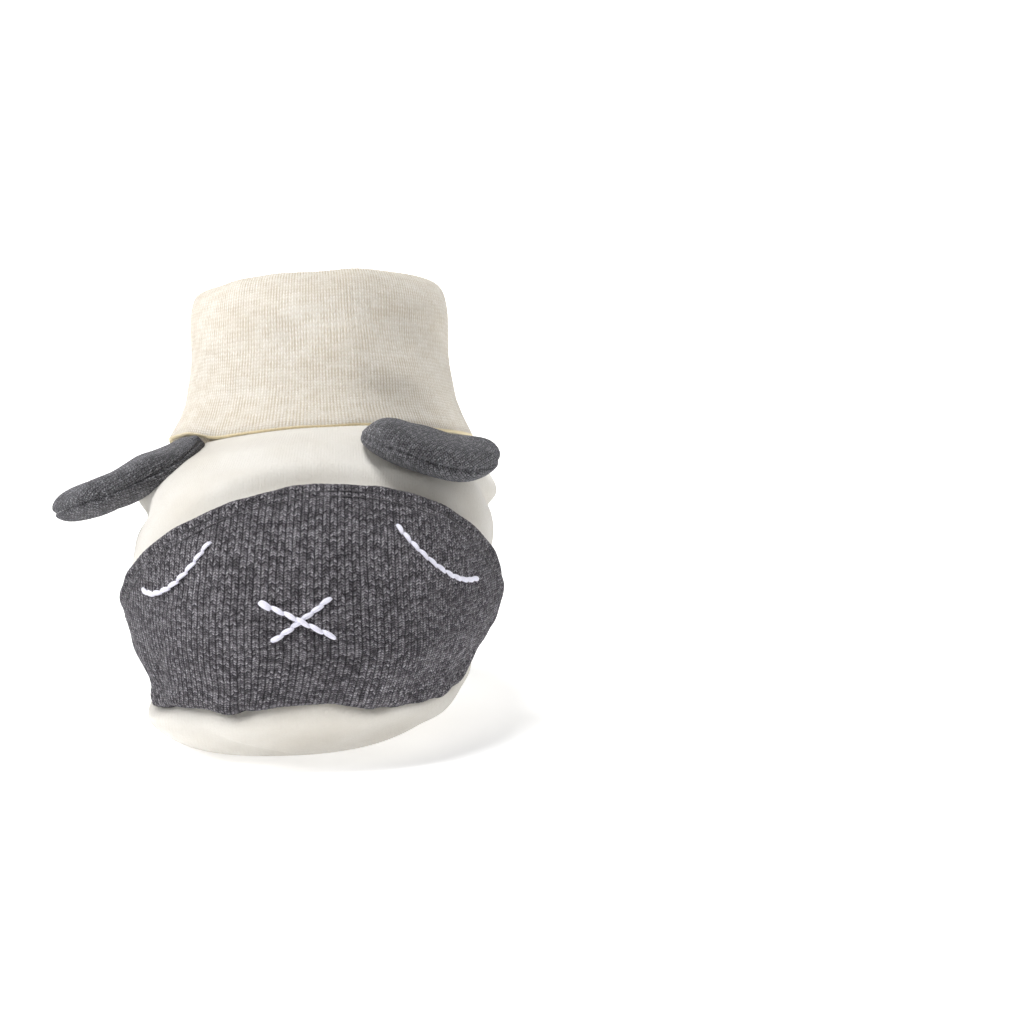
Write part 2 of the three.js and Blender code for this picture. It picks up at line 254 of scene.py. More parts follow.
def sheet_loop(at, theta, low, high, inner, outer, rows, shift, edge_rows=3):
    """The closed cross-sections of a cloth sheet, at each theta: up the inside and down the outside, rounded at both
    edges. shift gives what is added to the offset. Returns points, and the t of each of them."""
    low, high = (np.broadcast_to(np.asarray(k, float), theta.shape) for k in (low, high))
    half, middle = (outer - inner) / 2, (outer + inner) / 2
    lip = half / np.linalg.norm(at(theta, high) - at(theta, low), axis=-1).mean()  # half thickness, as a share
    turn = np.linspace(0, math.pi / 2, edge_rows + 1)
    edge = lip * (1 - np.cos(turn))
    upwards = np.concatenate([edge, lip + (1 - 2 * lip) * np.linspace(0, 1, rows)[1:-1], 1 - edge[::-1]])
    depth = np.concatenate([np.sin(turn), np.ones(rows - 2), np.sin(turn[::-1])])
    share = np.concatenate([upwards, upwards[::-1]])
    side = np.concatenate([-depth, depth[::-1]])
    t = low[:, None] + (high - low)[:, None] * share[None, :]
    theta, side = np.broadcast_arrays(theta[:, None], side[None, :])
    points = offset(at, theta, t, middle + half * side + shift(theta, t, side))
    return np.concatenate([points, points[:, :1]], 1), np.concatenate([t, t[:, :1]], 1)


def tube(name, paths, radii, sides):
    """One mesh of round tubes, closed at both ends, along paths of points with a radius at each."""
    around = np.linspace(0, 2 * math.pi, sides, endpoint=False)
    vertices, faces = [], []
    for path, radius in zip(paths, radii):
        way = np.gradient(path, axis=0)
        way /= np.linalg.norm(way, axis=1, keepdims=True)
        side = np.cross(way, [0.31, 0.17, 0.93])  # a direction that no thread follows
        side /= np.linalg.norm(side, axis=1, keepdims=True)
        spoke = np.cos(around)[:, None] * side[:, None] + np.sin(around)[:, None] * np.cross(side, way)[:, None]
        index = len(vertices) + np.arange(len(path) * sides).reshape(-1, sides)
        beside = np.roll(index, -1, 1)
        vertices += (path[:, None] + radius[:, None, None] * spoke).reshape(-1, 3).tolist()
        faces += np.stack([index[:-1], beside[:-1], beside[1:], index[1:]], -1).reshape(-1, 4).tolist()
        faces += [index[0, ::-1].tolist(), index[-1].tolist()]
    return add_mesh(name, (np.array(vertices) * MM).tolist(), faces)


# ---------------------------------------------------------------- materials
def linear(colour):
    """An sRGB colour, 0 to 255, as the linear numbers that Blender wants."""
    c = np.array(colour, float) / 255
    c = np.where(c <= 0.04045, c / 12.92, ((c + 0.055) / 1.055) ** 2.4)
    return (*c.tolist(), 1.0)


class Finish:
    """A material under construction."""

    def __init__(self, name, roughness=0.9, sheen=0.0, sheen_tint=(1, 1, 1, 1), sheen_roughness=0.5, specular=0.3):
        self.material = bpy.data.materials.new(name)
        self.material.use_nodes = True
        self.tree = self.material.node_tree
        self.shader = self.tree.nodes["Principled BSDF"]
        for key, value in {"Roughness": roughness, "Sheen Weight": sheen, "Sheen Tint": sheen_tint,
                           "Sheen Roughness": sheen_roughness, "Specular IOR Level": specular}.items():
            self.shader.inputs[key].default_value = value

    def put(self, socket, value):
        if isinstance(value, bpy.types.NodeSocket):
            self.tree.links.new(value, socket)
        else:
            socket.default_value = value

    def add(self, kind, inputs=None, **settings):
        node = self.tree.nodes.new("ShaderNode" + kind)
        for key, value in settings.items():
            setattr(node, key, value)
        for key, value in (inputs or {}).items():
            self.put(node.inputs[key], value)
        return node

    def math(self, operation, *values):
        node = self.add("Math", operation=operation)
        for socket, value in zip(node.inputs, values):
            self.put(socket, value)
        return node.outputs[0]

    def times(self, a, b):
        return self.math("MULTIPLY", a, b)

    def plus(self, a, b):
        return self.math("ADD", a, b)

    def scaled(self, value, factor, added):
        return self.math("MULTIPLY_ADD", value, factor, added)

    def noise(self, vector, scale, detail, roughness):
        inputs = {"Vector": vector, "Scale": scale, "Detail": detail, "Roughness": roughness}
        return self.add("TexNoise", inputs).outputs["Fac"]

    def mix(self, factor, a, b):
        node = self.add("Mix", data_type="RGBA")
        for socket, value in zip((0, 6, 7), (factor, a, b)):  # the sockets for mixing colours
            self.put(node.inputs[socket], value)
        return node.outputs[2]

    def ramp(self, value, low, high):
        inputs = {"Value": value, "From Min": low, "From Max": high}
        return self.add("MapRange", inputs, interpolation_type="SMOOTHSTEP").outputs[0]

    def place(self, scale=(1, 1, 1)):
        inputs = {"Vector": self.add("TexCoord").outputs["Object"], "Scale": scale}
        return self.add("Mapping", inputs).outputs[0]

    def weave(self):
        """The weave map, whole and as its u and v."""
        weave = self.add("UVMap", uv_map="weave").outputs[0]
        return weave, *self.add("SeparateXYZ", {"Vector": weave}).outputs[:2]

    def pair(self, x, y):
        return self.add("CombineXYZ", {"X": x, "Y": y}).outputs[0]

    def done(self, colour, height=None, depth=0.0):
        """The material, with a relief of this height map, depth metres deep."""
        self.put(self.shader.inputs["Base Color"], colour)
        if height is not None:
            relief = self.add("Bump", {"Height": height, "Distance": depth, "Strength": 1.0})
            self.put(self.shader.inputs["Normal"], relief.outputs[0])
        return self.material


# warm yellow painted along the cuff's rolled hem: painted shade with light shining through the doubled cloth
HEM_PAINTED_SHADE_GLOW = (248, 232, 192)


def knit(name, dark, light, valley, shine, stitch, split, depth=0.0002, sheen=0.15, hem=None):
    """Rib knit. The weave map counts wales in U and courses in V. A wale is two columns of slanting legs, a V in
    each course, and every leg has its own tone. valley is the colour of painted shade: in the valleys between wales,
    in the parted middle of each wale and between the legs. stitch is how dark the painted shade between the legs is,
    split is how far a wale parts in the middle, and hem is the V of the rolled hem, near which the cloth is painted
    warm yellow: painted shade with light shining through the cloth."""
    dark, light, valley, shine = map(linear, (dark, light, valley, shine))
    f = Finish(name, 0.95, sheen, shine, 0.45, 0.15)
    weave, u, v = f.weave()
    wander = f.noise(weave, 0.35, 3.0, 0.6)
    bent = f.scaled(f.noise(weave, 0.9, 2.0, 0.6), 0.16, u)
    across = f.math("ABSOLUTE", f.scaled(f.math("FRACT", bent), 2.0, -1.0))
    phase = f.plus(f.scaled(across, 0.75, v), f.times(wander, 1.2))
    leg = f.scaled(f.math("SINE", f.times(phase, 2 * math.pi)), 0.5, 0.5)
    cell = f.pair(f.math("FLOOR", f.times(bent, 2.0)), f.math("FLOOR", phase))
    chance = f.add("TexWhiteNoise", {"Vector": cell}, noise_dimensions="2D").outputs["Value"]
    strands = f.pair(f.times(u, 8.0), f.times(phase, 3.6))
    fibre = f.ramp(f.noise(strands, 1.0, 3.0, 0.6), 0.4, 0.62)
    tone = f.math("POWER", f.plus(f.times(chance, 0.5), f.times(fibre, 0.5)), 2.0)
    cloud = f.ramp(f.noise(weave, 0.12, 3.0, 0.6), 0.3, 0.75)
    yarn = f.mix(f.times(cloud, 0.2), f.mix(tone, dark, light), valley)
    # painted shade: the valleys between wales and each wale's parted middle are painted towards the valley colour, in
    # broken lengths (gap)
    parting = f.math("MAXIMUM", f.ramp(across, 0.6, 0.98), f.times(f.ramp(across, 0.36, 0.02), split))
    gap = f.times(parting, f.scaled(f.ramp(wander, 0.62, 0.38), 0.55, 0.2))
    solid = f.times(leg, f.math("SUBTRACT", 1.0, parting))
    # painted shade between the legs, as dark as stitch says
    between = f.times(f.math("SUBTRACT", 1.0, solid), stitch)
    colour = f.mix(between, f.mix(gap, yarn, valley), valley)
    if hem is not None:
        # painted shade and glow: near the hem the cloth is painted warm yellow
        colour = f.mix(f.times(f.ramp(v, hem - 1.5, hem - 0.8), 0.9), colour, linear(HEM_PAINTED_SHADE_GLOW))
    return f.done(colour, f.plus(solid, f.times(fibre, 0.35)), depth)


def velour(name, light, shade):
    """Short dense pile: broad brushed patches, fine rows and a grain of fibres."""
    light, shade = linear(light), linear(shade)
    f = Finish(name, 0.95, 0.55, (1, 0.985, 0.95, 1), 0.35, 0.15)
    place = f.place()
    patch = f.noise(place, 70.0, 3.0, 0.55)
    pile = f.noise(f.place((1, 1, 0.35)), 5200.0, 2.0, 0.6)
    tufts = f.noise(place, 1500.0, 2.0, 0.5)
    rows = f.math("SINE", f.times(f.weave()[1], 2 * math.pi))
    colour = f.mix(f.times(f.ramp(patch, 0.3, 0.75), 0.55), light, shade)
    colour = f.mix(f.times(f.ramp(pile, 0.55, 0.3), 0.25), colour, shade)
    height = f.plus(f.times(pile, 0.6), f.times(tufts, 0.8))
    return f.done(colour, f.plus(height, f.times(rows, 0.10)), 0.00012)


def thread(name, light, dark):
    light, dark = linear(light), linear(dark)
    f = Finish(name, 0.55, 0.3, (1, 1, 1, 1), 0.3, 0.4)
    place = f.place()
    strands = f.noise(place, 9000.0, 2.0, 0.5)
    patch = f.noise(place, 700.0, 2.0, 0.5)
    colour = f.mix(f.times(f.ramp(strands, 0.6, 0.35), 0.5), light, dark)
    return f.done(f.mix(f.times(patch, 0.3), colour, dark), strands, 0.00008)


def wool(name, light, dark):
    f = Finish(name, 1.0, 0.5, (1, 1, 1, 1), 0.4, 0.1)
    tangle = f.noise(f.place(), 900.0, 5.0, 0.7)
    return f.done(f.mix(f.ramp(tangle, 0.6, 0.35), linear(light), linear(dark)), tangle, 0.0006)


CUFF_WALE, CUFF_COURSE, CUFF_ROWS = 1.05, 0.8, 70  # width of a wale, height of a course, length of the cloth
GREY = knit("grey_knit", (40, 36, 42), (252, 247, 255), (17, 15, 19), (205, 205, 212), 0.7, 0.5)
# the panel's grey knit made darker for the ears: painted shade for their lower leaves, with more sheen
SHADED_EAR_GREY = knit("ear_knit", (32, 30, 33), (245, 244, 250), (11, 10, 12), (215, 215, 222), 0.78, 0.5, 0.0003, 0.5)
CREAM = knit("cream_rib", (236, 232, 224), (255, 252, 247), (192, 176, 150), (255, 252, 245),
             0.3, 1.0, 0.00008, 0.25, CUFF_ROWS / CUFF_COURSE)
WHITE = velour("velour", (221, 218, 212), (201, 195, 184))
LINING = velour("lining_fabric", (244, 236, 216), (232, 220, 194))
WHITE_THREAD = thread("white_thread", (248, 247, 255), (212, 210, 236))
GREY_THREAD = thread("grey_thread", (84, 82, 86), (48, 47, 49))
CREAM_THREAD = thread("cream_thread", (240, 232, 214), (206, 192, 162))
WADDING = wool("wadding", (248, 247, 245), (222, 220, 216))


def finish_piece(ob, material, stands_for, body="bootie"):
    ob.data.materials.append(material)
    if body:
        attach(ob, body)
    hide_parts(*stands_for)
    return ob


# ---------------------------------------------------------------- camera, lights and floor
AZIMUTH, ELEVATION, ROLL = math.radians(-1.2), math.radians(8), math.radians(1.7)
TARGET, DISTANCE = Vector((0.0365, 0, 0.038)), 0.785
SENSOR, FOCAL_PIXELS, PHOTO_PIXELS = 36, 4197, 1024
forward = Vector((math.sin(AZIMUTH) * math.cos(ELEVATION), math.cos(AZIMUTH) * math.cos(ELEVATION),
                  -math.sin(ELEVATION)))
right = Vector((math.cos(AZIMUTH), -math.sin(AZIMUTH), 0))
up = right.cross(forward)
right, up = right * math.cos(ROLL) - up * math.sin(ROLL), up * math.cos(ROLL) + right * math.sin(ROLL)
camera = bpy.data.objects.new("camera", bpy.data.cameras.new("camera"))
bpy.context.scene.collection.objects.link(camera)
camera.data.sensor_width = SENSOR
camera.data.lens = FOCAL_PIXELS / PHOTO_PIXELS * SENSOR
camera.data.clip_start, camera.data.clip_end = 0.05, 20
camera.location = TARGET - forward * DISTANCE
camera.rotation_mode = "QUATERNION"
camera.rotation_quaternion = Matrix((right, up, -forward)).transposed().to_quaternion()
bpy.context.scene.camera = camera


def area_light(name, location, size, power, colour=(1, 1, 1), target=(0, 0, 0.035)):
    light = bpy.data.lights.new(name, "AREA")
    light.shape, light.size, light.energy, light.color = "DISK", size, power, colour
    ob = bpy.data.objects.new(name, light)
    ob.location = location
    ob.rotation_mode = "QUATERNION"
    ob.rotation_quaternion = (Vector(target) - ob.location).to_track_quat("-Z", "Y")
    bpy.context.scene.collection.objects.link(ob)


area_light("left_softbox", (-0.8, -0.25, 0.6), 0.5, 3.7, (1.0, 0.995, 0.985))
area_light("right_softbox", (0.8, 0.5, 0.4), 0.5, 1.1, (1.0, 0.99, 0.97))
area_light("overhead", (-0.2, -0.2, 1.0), 0.4, 8.6)
world = bpy.data.worlds.new("studio")
world.use_nodes = True
colour_input, strength_input = world.node_tree.nodes["Background"].inputs[:2]
colour_input.default_value = (1, 0.995, 0.985, 1)
strength_input.default_value = 0.16
bpy.context.scene.world = world
bpy.context.scene.view_settings.view_transform = "Standard"


def backdrop():
    """A pale sheet: the floor, swept up far behind. It glows a little, more so away from the bootie."""
    width, bend, radius, height, below = 40.0, 2.5, 1.0, 3.0, 0.0002
    turn = [math.radians(a) for a in range(0, 91, 5)]
    profile = [(-width, 0.0)] + [(bend + radius * math.sin(a), radius * (1 - math.cos(a))) for a in turn]
    profile.append((bend + radius, height))
    vertices = [(x, y, z) for y, z in profile for x in (-width, width)]
    faces = [(2 * i, 2 * i + 1, 2 * i + 3, 2 * i + 2) for i in range(len(profile) - 1)]
    ob = add_mesh("floor", vertices, faces)
    ob.location.z = -below
    pale = Finish("pale_floor", 0.9, specular=0.1)
    pale.shader.inputs["Emission Color"].default_value = (1, 1, 1, 1)
    away = pale.add("VectorMath", {"Vector": pale.place()}, operation="LENGTH").outputs["Value"]
    pale.put(pale.shader.inputs["Emission Strength"], pale.scaled(pale.ramp(away, 0.2, 0.9), 0.5, 0.46))
    ob.data.materials.append(pale.done((0.93, 0.93, 0.93, 1)))


backdrop()

# ---------------------------------------------------------------- shared shapes of the shell
SEAM_KNOTS = [-180, -120, -95, -75, -62, -53, -40, -29, -17, -11.5, -5,
              2, 11, 17, 27, 35, 46, 56, 68, 90, 120, 180]
SEAM_RISES = [0, 0, -1.6, -3.4, -3.9, -3.2, -1.1, -0.6, -1.2, -0.2, 0.4,
              0.8, 1.0, 0.1, -1.4, -1.2, -1.6, -1.6, -2.0, -1.0, 0, 0]
SEAM_REACH = 0.16  # how far up the upper, in t, the seam's wandering is felt
LEAN, LEAN_HEIGHT = 5.5, 22  # how far the front of the sole leans to the left, and up to which height
SHARED_CREASES = [(-0.75, 2.6, [(-54, 0.02), (-50, 0.10), (-44, 0.19)]),
                  (-0.6, 2.6, [(36, 0.03), (40, 0.11), (46, 0.17)]),
                  (-0.5, 2.2, [(-16, 0.0), (-14, 0.07), (-11, 0.14)])]


def seam_rise(theta):
    """How far the sole seam wanders upwards, in mm."""
    return spline(np.degrees(theta), SEAM_KNOTS, SEAM_RISES)


def lean(points):
    x, y, z = points[..., 0], points[..., 1], points[..., 2]
    share = np.clip(1 - z / LEAN_HEIGHT, 0, 1) ** 1.3 * smooth(-y, -25, 30)
    points[..., 0] = x - LEAN * share * (1 - 0.7 * smooth(z, 3, 12) * smooth(-x, 5, 22))
    return points


def settle(points, theta, t):
    """Points of the upper or a sheet on it, with the sole's lean and the seam's wandering."""
    lean(points)[..., 2] += seam_rise(theta) * bump(t, 0, SEAM_REACH)
    return points


def panel_top(theta):
    on_right = theta > PANEL_PEAK
    reach = PANEL_REACH + np.where(on_right, -PANEL_PEAK, PANEL_PEAK)
    cosine = np.maximum(np.cos((theta - PANEL_PEAK) / reach * math.pi / 2), 0)
    return PANEL_SIDE + (PANEL_TOP - PANEL_SIDE) * cosine ** np.where(on_right, *PANEL_FULLNESS[::-1])


def panel_low(theta):
    corner = np.where(theta < 0, *PANEL_CORNERS)
    share = np.clip((np.abs(theta) - corner) / (PANEL_REACH - corner), 0, 1)
    return PANEL_SIDE * np.where(theta < 0, 1 - np.sqrt(1 - share ** 2), share ** 1.2)


def edge_line():
    """Points along the panel's free edge: its arched top, and its lower edge outside the corners."""
    left, right = PANEL_CORNERS
    top = np.linspace(-PANEL_REACH, PANEL_REACH, 353) * PANEL_END
    low = np.concatenate([np.linspace(-PANEL_REACH, -left, 80), np.linspace(right, PANEL_REACH, 80)]) * PANEL_END
    return np.concatenate([UPPER(top, panel_top(top)), UPPER(low, panel_low(low))])


EDGE_LINE = edge_line()


def from_edge(points):
    """Distance in mm from the panel's free edge."""
    nearest = np.full(points.shape[:-1], FAR)
    for p in EDGE_LINE:
        nearest = np.minimum(nearest, np.sum((points - p) ** 2, -1))
    return np.sqrt(nearest)


def from_heel(theta, radius):
    """Distance in mm from the middle of the back, where the surface has about this radius."""
    return np.abs(np.abs(theta) - math.pi) * radius


def tucks(theta, t):
    """How far the cloth is pulled in just above the sole seam, left and right of the toe, in mm."""
    angle = np.degrees(theta)
    return 1.7 * bump(angle, -70, 14) * bump(t, 0.06, 0.08) + 2.2 * bump(angle, 71, 17) * bump(t, 0.1, 0.09)


def shell_folds(theta, t):
    """Folds that the upper and the panel on it share, in mm outwards."""
    angle = np.degrees(theta)
    d = 0.35 * ripples(UPPER(theta, t), 26, 3) * (0.4 + 0.6 * smooth(t, 0.0, 0.12))
    for at, height, width in ((-16, -1.0, 2.6), (27, -0.95, 2.8), (-47, -0.6, 3.0), (54, -0.5, 3.2)):
        d = d + height * bump(angle, at, width) * bump(t, 0, 0.10)  # puckers at the sole seam
    for at in (-60, -36, -8, 10, 38, 64, 78, -74):
        d = d + 0.35 * bump(angle, at, 4.0) * bump(t, 0, 0.08)  # and the fullness between them
    d = d + 1.6 * bump(angle, -88, 22) * bump(t, 0.33, 0.14) + 0.8 * bump(angle, 95, 22) * bump(t, 0.58, 0.1)
    return d - tucks(theta, t) + creases(theta, t, SHARED_CREASES)


# ---------------------------------------------------------------- outsole
SOLE_FOLD = [(-30, 0.72), (-17, 0.5), (-6, 0.36), (3, 0.28)]
PILE_ROW = 0.7  # width of a row of pile under the sole and in the lining


def outsole():
    theta = np.linspace(-math.pi, math.pi, 361)
    angle = np.degrees(theta)
    flat = np.linspace(0, 1, 40)[:-1]
    layers = []
    for outside in (True, False):
        part = [sole_surface(theta, 0.0) * [s, s, 1] for s in flat]
        for t in np.linspace(0, 1, 72):
            if not outside:
                part.append(offset(sole_surface, theta, t, -VELOUR))
                continue
            p = offset(sole_surface, theta, t, 0.5 * bump(t, 0.86, 0.12) - 1.2 * bump(t, 1, 0.05))
            wave = (ripples(p, 22, 11) * 0.35 + 1.3 * bump(angle, -66, 20)) * smooth(t, 0.3, 0.7)
            wave = wave + 1.3 * bump(angle, 64, 16) * bump(t, 0.66, 0.15)
            wave = wave - 0.8 * bump(angle, 70, 16) * smooth(t, 0.78, 1)
            wave = wave - 0.8 * crease(theta, t, SOLE_FOLD, 1.6, sole_surface)
            part.append(p + (offset(sole_surface, theta, t, wave) - sole_surface(theta, t)))
        part = np.array(part)
        if not outside:
            part[:len(flat), :, 2] = VELOUR
        z = lean(part)[..., 2]
        z += seam_rise(theta) * smooth(z, 3, 12)
        z[...] = np.maximum(z, 0)
        layers.append(part)
    points = np.concatenate([layers[0], layers[1][::-1]])
    uv = np.stack([points[..., 0] / PILE_ROW, points[..., 1]], -1)
    ob = grid("outsole_velour", points, uv, wrap=(False, True), poles=True, flip=True)
    return finish_piece(ob, WHITE, ["outsole"])


outsole()

# ---------------------------------------------------------------- upper
UPPER_HEIGHT = 90  # length in mm that the weave map gives the cloth from the sole seam to the ankle
ANKLE_EDGE = 0.93, 0.985  # from where the upper flattens towards its top edge, and that edge
UPPER_CREASES = [
    (-2.3, 2.3, [(-150, 0.44), (-118, 0.50), (-95, 0.545), (-78, 0.57), (-62, 0.61)]),
    (-2.0, 2.2, [(150, 0.40), (120, 0.47), (98, 0.53), (80, 0.60), (64, 0.69)]),
    (0.9, 2.6, [(-120, 0.60), (-95, 0.64), (-74, 0.67), (-58, 0.71)]),
    (-1.4, 2.2, [(125, 0.26), (100, 0.32), (84, 0.41)]),
    (-1.4, 2.2, [(-128, 0.24), (-100, 0.33), (-82, 0.44)]),
    (0.5, 4.0, [(-100, 0.68), (-70, 0.76), (-40, 0.82), (0, 0.84), (40, 0.80), (75, 0.72), (100, 0.66)])]


def upper():
    theta, length = equal_arc(UPPER, 0.4, 560)

    def shift(th, t, face):
        outside = (t > panel_top(th)) | (t < panel_low(th)) | (np.abs(th) > PANEL_REACH)
        beyond = np.where(outside, 1, -1) * from_edge(UPPER(th, t))  # mm outside the panel's edge
        front = smooth(math.pi - np.abs(th), math.radians(70), math.radians(105)) * smooth(t, 0.2, 0.35)
        lip = 0.55 * smooth(beyond, -0.5, 0.4) * bump(np.maximum(beyond, 0), 0, 1.5)
        dip = 0.6 * bump(beyond, 2.2, 1.4) * smooth(beyond, 0, 1.5) * front
        roll = 2.9 * smooth(beyond, 2.0, 6.5) * smooth(t, 0.55, 0.75) * bump(th, -0.05, 1.15)
        roll = roll * (1 - 0.5 * smooth(t, *ANKLE_EDGE))
        heel = from_heel(th, 28)
        seams = 0.35 * bump(heel, 1.9, 1.0) - 1.1 * bump(heel, 0, 0.7) - 1.4 * bump(t, 0, 0.012) * (t < panel_low(th))
        return shell_folds(th, t) + lip - dip + roll + creases(th, t, UPPER_CREASES) + seams
    points, t = sheet_loop(UPPER, theta, 0.004, ANKLE_EDGE[1], -VELOUR, 0.0, 110, shift)
    settle(points, theta[:, None], t)
    rise = spline(points[..., 0], [-24, -17, -11, -2, 4, 11, 21, 28], [0, 0.1, 0.3, 0.7, 0.9, 1.3, 0.7, 0])
    rise = rise * smooth(t, 0.76, 0.93) * (1 - 0.5 * smooth(t, *ANKLE_EDGE))
    points[..., 2] += rise * smooth(-points[..., 1], -15, 0)
    uv = row_map(np.linspace(0, length / 0.6, len(theta)), t * UPPER_HEIGHT)
    ob = grid("upper_velour", points, uv, wrap=(True, True))
    return finish_piece(ob, WHITE, ["upper"])


upper()

# ---------------------------------------------------------------- toe panel
WALE, COURSE, PANEL_HEIGHT = 1.3, 0.66, 88  # width of a wale, height of a course, length of the cloth for t 0 to 1
RIB_HEIGHT = 0.11
BAND, ROW_GAP = 3.0, 1.7  # from the panel's edge to its topstitching, and between its two rows


def panel_relief(theta, t):
    """How far the panel's outer face is moved outwards, in mm: folds, edge band, topstitch grooves, sole seam."""
    near = from_edge(UPPER(theta, t))
    d = 0.3 * bump(near, 1.7, 1.0) - 0.34 * bump(near, BAND, 0.4) - 0.2 * bump(near, BAND + ROW_GAP, 0.36)
    d = d - 0.8 * np.clip(1 - near / 0.9, 0, 1) ** 2
    return shell_folds(theta, t) + d + 0.5 * bump(t, 0.045, 0.03) - 1.2 * bump(t, 0, 0.012)


def toe_panel():
    theta, wale = equal_wales(UPPER, 0.3, WALE, 7, PANEL_REACH * PANEL_END)

    def shift(th, t, face):
        points = UPPER(th, t)
        inside = shell_folds(th, t) - 0.2 * bump(t, 0, 0.012)
        outside = panel_relief(th, t) + 0.16 * ripples(points, 6, 21)
        outside = outside - 0.45 * smooth(np.degrees(np.abs(th)), 82, 88)  # the tips are pressed down
        pressed = 1 - 0.5 * bump(from_edge(points), 1.2, 1.6)
        outside = outside + RIB_HEIGHT * (rib(wale)[:, None] - 0.5) * pressed
        return np.where(face > 0, outside, inside)
    low, high = panel_low(theta) + 0.001, panel_top(theta)
    points, t = sheet_loop(UPPER, theta, low, high, PANEL_INSIDE, PANEL_OUTSIDE, 92, shift)
    uv = row_map(wale, t * PANEL_HEIGHT / COURSE)
    ob = grid("toe_panel_knit", settle(points, theta[:, None], t), uv, wrap=(False, True), caps=True)
    return finish_piece(ob, GREY, ["toe_panel"])


toe_panel()


def on_panel(theta, t, height):
    """Points over the panel's real outer face, in mm."""
    theta, t = np.asarray(theta, float), np.asarray(t, float)
    return settle(offset(UPPER, theta, t, PANEL_OUTSIDE + panel_relief(theta, t) + height), theta, t)


# ---------------------------------------------------------------- lining, insole, sole wadding
def lining():
    theta, length = equal_arc(UPPER, 0.4, 300)

    def shift(th, t, face):
        return 0.25 * ripples(UPPER(th, t), 15, 31) - tucks(th, t) - 0.5 * bump(from_heel(th, 26), 0, 0.8)
    points, t = sheet_loop(UPPER, theta, 0.03, 0.93, LINING_INSIDE, LINING_OUTSIDE, 60, shift)
    uv = row_map(np.linspace(0, length / PILE_ROW, len(theta)), t * UPPER_HEIGHT)
    ob = grid("lining_cloth", settle(points, theta[:, None], t), uv, wrap=(True, True))
    return finish_piece(ob, LINING, ["lining"])


lining()


def pad(name, rows, seed, lump, material, stands_for, stitch=0.0):
    """A flat padded shape through rings of the sole's outline, each a scale and a height."""
    theta = np.linspace(-math.pi, math.pi, 241)
    toe, heel, width, _, _, egg = SOLE_SEAM
    rows = np.array(rows, float)
    run = run_length(rows * [50, 1])
    scale, z = (np.interp(np.linspace(0, run[-1], 90), run, rows[:, k]) for k in (0, 1))
    points = np.array([ring_point((toe * k, heel * k, width * k, h, h, egg), theta) for k, h in zip(scale, z)])
    points[..., 2] += lump * ripples(points, 9, seed) - stitch * bump(scale[:, None], 0.74, 0.02)
    uv = np.stack([points[..., 0] / PILE_ROW, points[..., 1]], -1)
    ob = grid(name, lean(points), uv, wrap=(False, True), poles=True, flip=True)
    return finish_piece(ob, material, stands_for)


pad("insole_pad", [(0, 5.4), (0.78, 5.4), (0.83, 5.7), (0.845, 6.1), (0.83, 6.5), (0.78, 6.75), (0, 6.75)],
    41, 0.08, LINING, ["insole"], 0.25)
pad("sole_fill", [(0, 2.0), (0.6, 2.0), (0.78, 2.9), (0.835, 4.2), (0.83, 4.9), (0, 4.95)],
    43, 0.05, WADDING, ["sole_wadding"])

# ---------------------------------------------------------------- cuff
CUFF_RIB_HEIGHT = 0.06
CUFF_CREASES = [(-1.15, 4.2, [(-8, 0.60), (8, 0.66), (24, 0.74), (40, 0.80), (60, 0.84)]),
                (0.6, 4.0, [(0, 0.54), (25, 0.60), (50, 0.66), (75, 0.70)]),
                (-0.6, 4.0, [(-60, 0.62), (-40, 0.70), (-24, 0.82)]),
                (-0.6, 4.0, [(150, 0.6), (175, 0.7), (200, 0.8)])]


def cuff():
    theta, wale = equal_wales(CUFF, 0.72, CUFF_WALE, 5)

    def shift(th, t, face):
        points = CUFF(th, t)
        d = (0.3 * ripples(points, 26, 51) + 0.12 * ripples(points, 9, 52)) * smooth(t, 0.0, 0.1)
        d = d + creases(th, t, CUFF_CREASES, CUFF) - 0.5 * bump(from_heel(th, 23), 0, 0.5)
        d = d + 0.35 * bump(t, 0.965, 0.014)  # the hem's rolled edge
        outwards = np.where(np.abs(face) > 0.5, np.sign(face), 0)
        return d + outwards * CUFF_RIB_HEIGHT * (rib(wale)[:, None] - 0.5)
    points, t = sheet_loop(CUFF, theta, 0, 1, -CUFF_HALF, CUFF_HALF, 56, shift, 4)
    x, z = points[..., 0], points[..., 2]
    rise = spline(x, [-23, -12, 0, 10, 18, 23], [-1.5, -0.1, 1.1, 1.5, 0.6, 0.3]) * smooth(z, 64, 81)
    hem_rise = spline(x, [-24, -17.5, -11, -2.3, 3.5, 10.5, 21, 28], [0.7, -0.7, -0.15, 0.4, 0.55, 0.85, 0.3, 0])
    front = smooth(-points[..., 1], -35, 5)
    points[..., 0] = x * (1 + 0.038 * smooth(t, 0.3, 0.5))
    points[..., 2] = z + front * (rise + hem_rise * smooth(t, 0.84, 1))
    ob = grid("rib_cuff", points, row_map(wale, t * CUFF_ROWS / CUFF_COURSE), wrap=(True, True))
    return finish_piece(ob, CREAM, ["cuff"])


cuff()

# ---------------------------------------------------------------- stitches
STRAND_GAP, STRAND_RADIUS, STITCH_LIFT = 0.27, 0.23, 0.4
STITCH_OVERLAP = 0.07  # of its length, at each end
ALONG = np.linspace(0, 1, 9)
BELLY = np.sin(math.pi * ALONG) ** 0.7


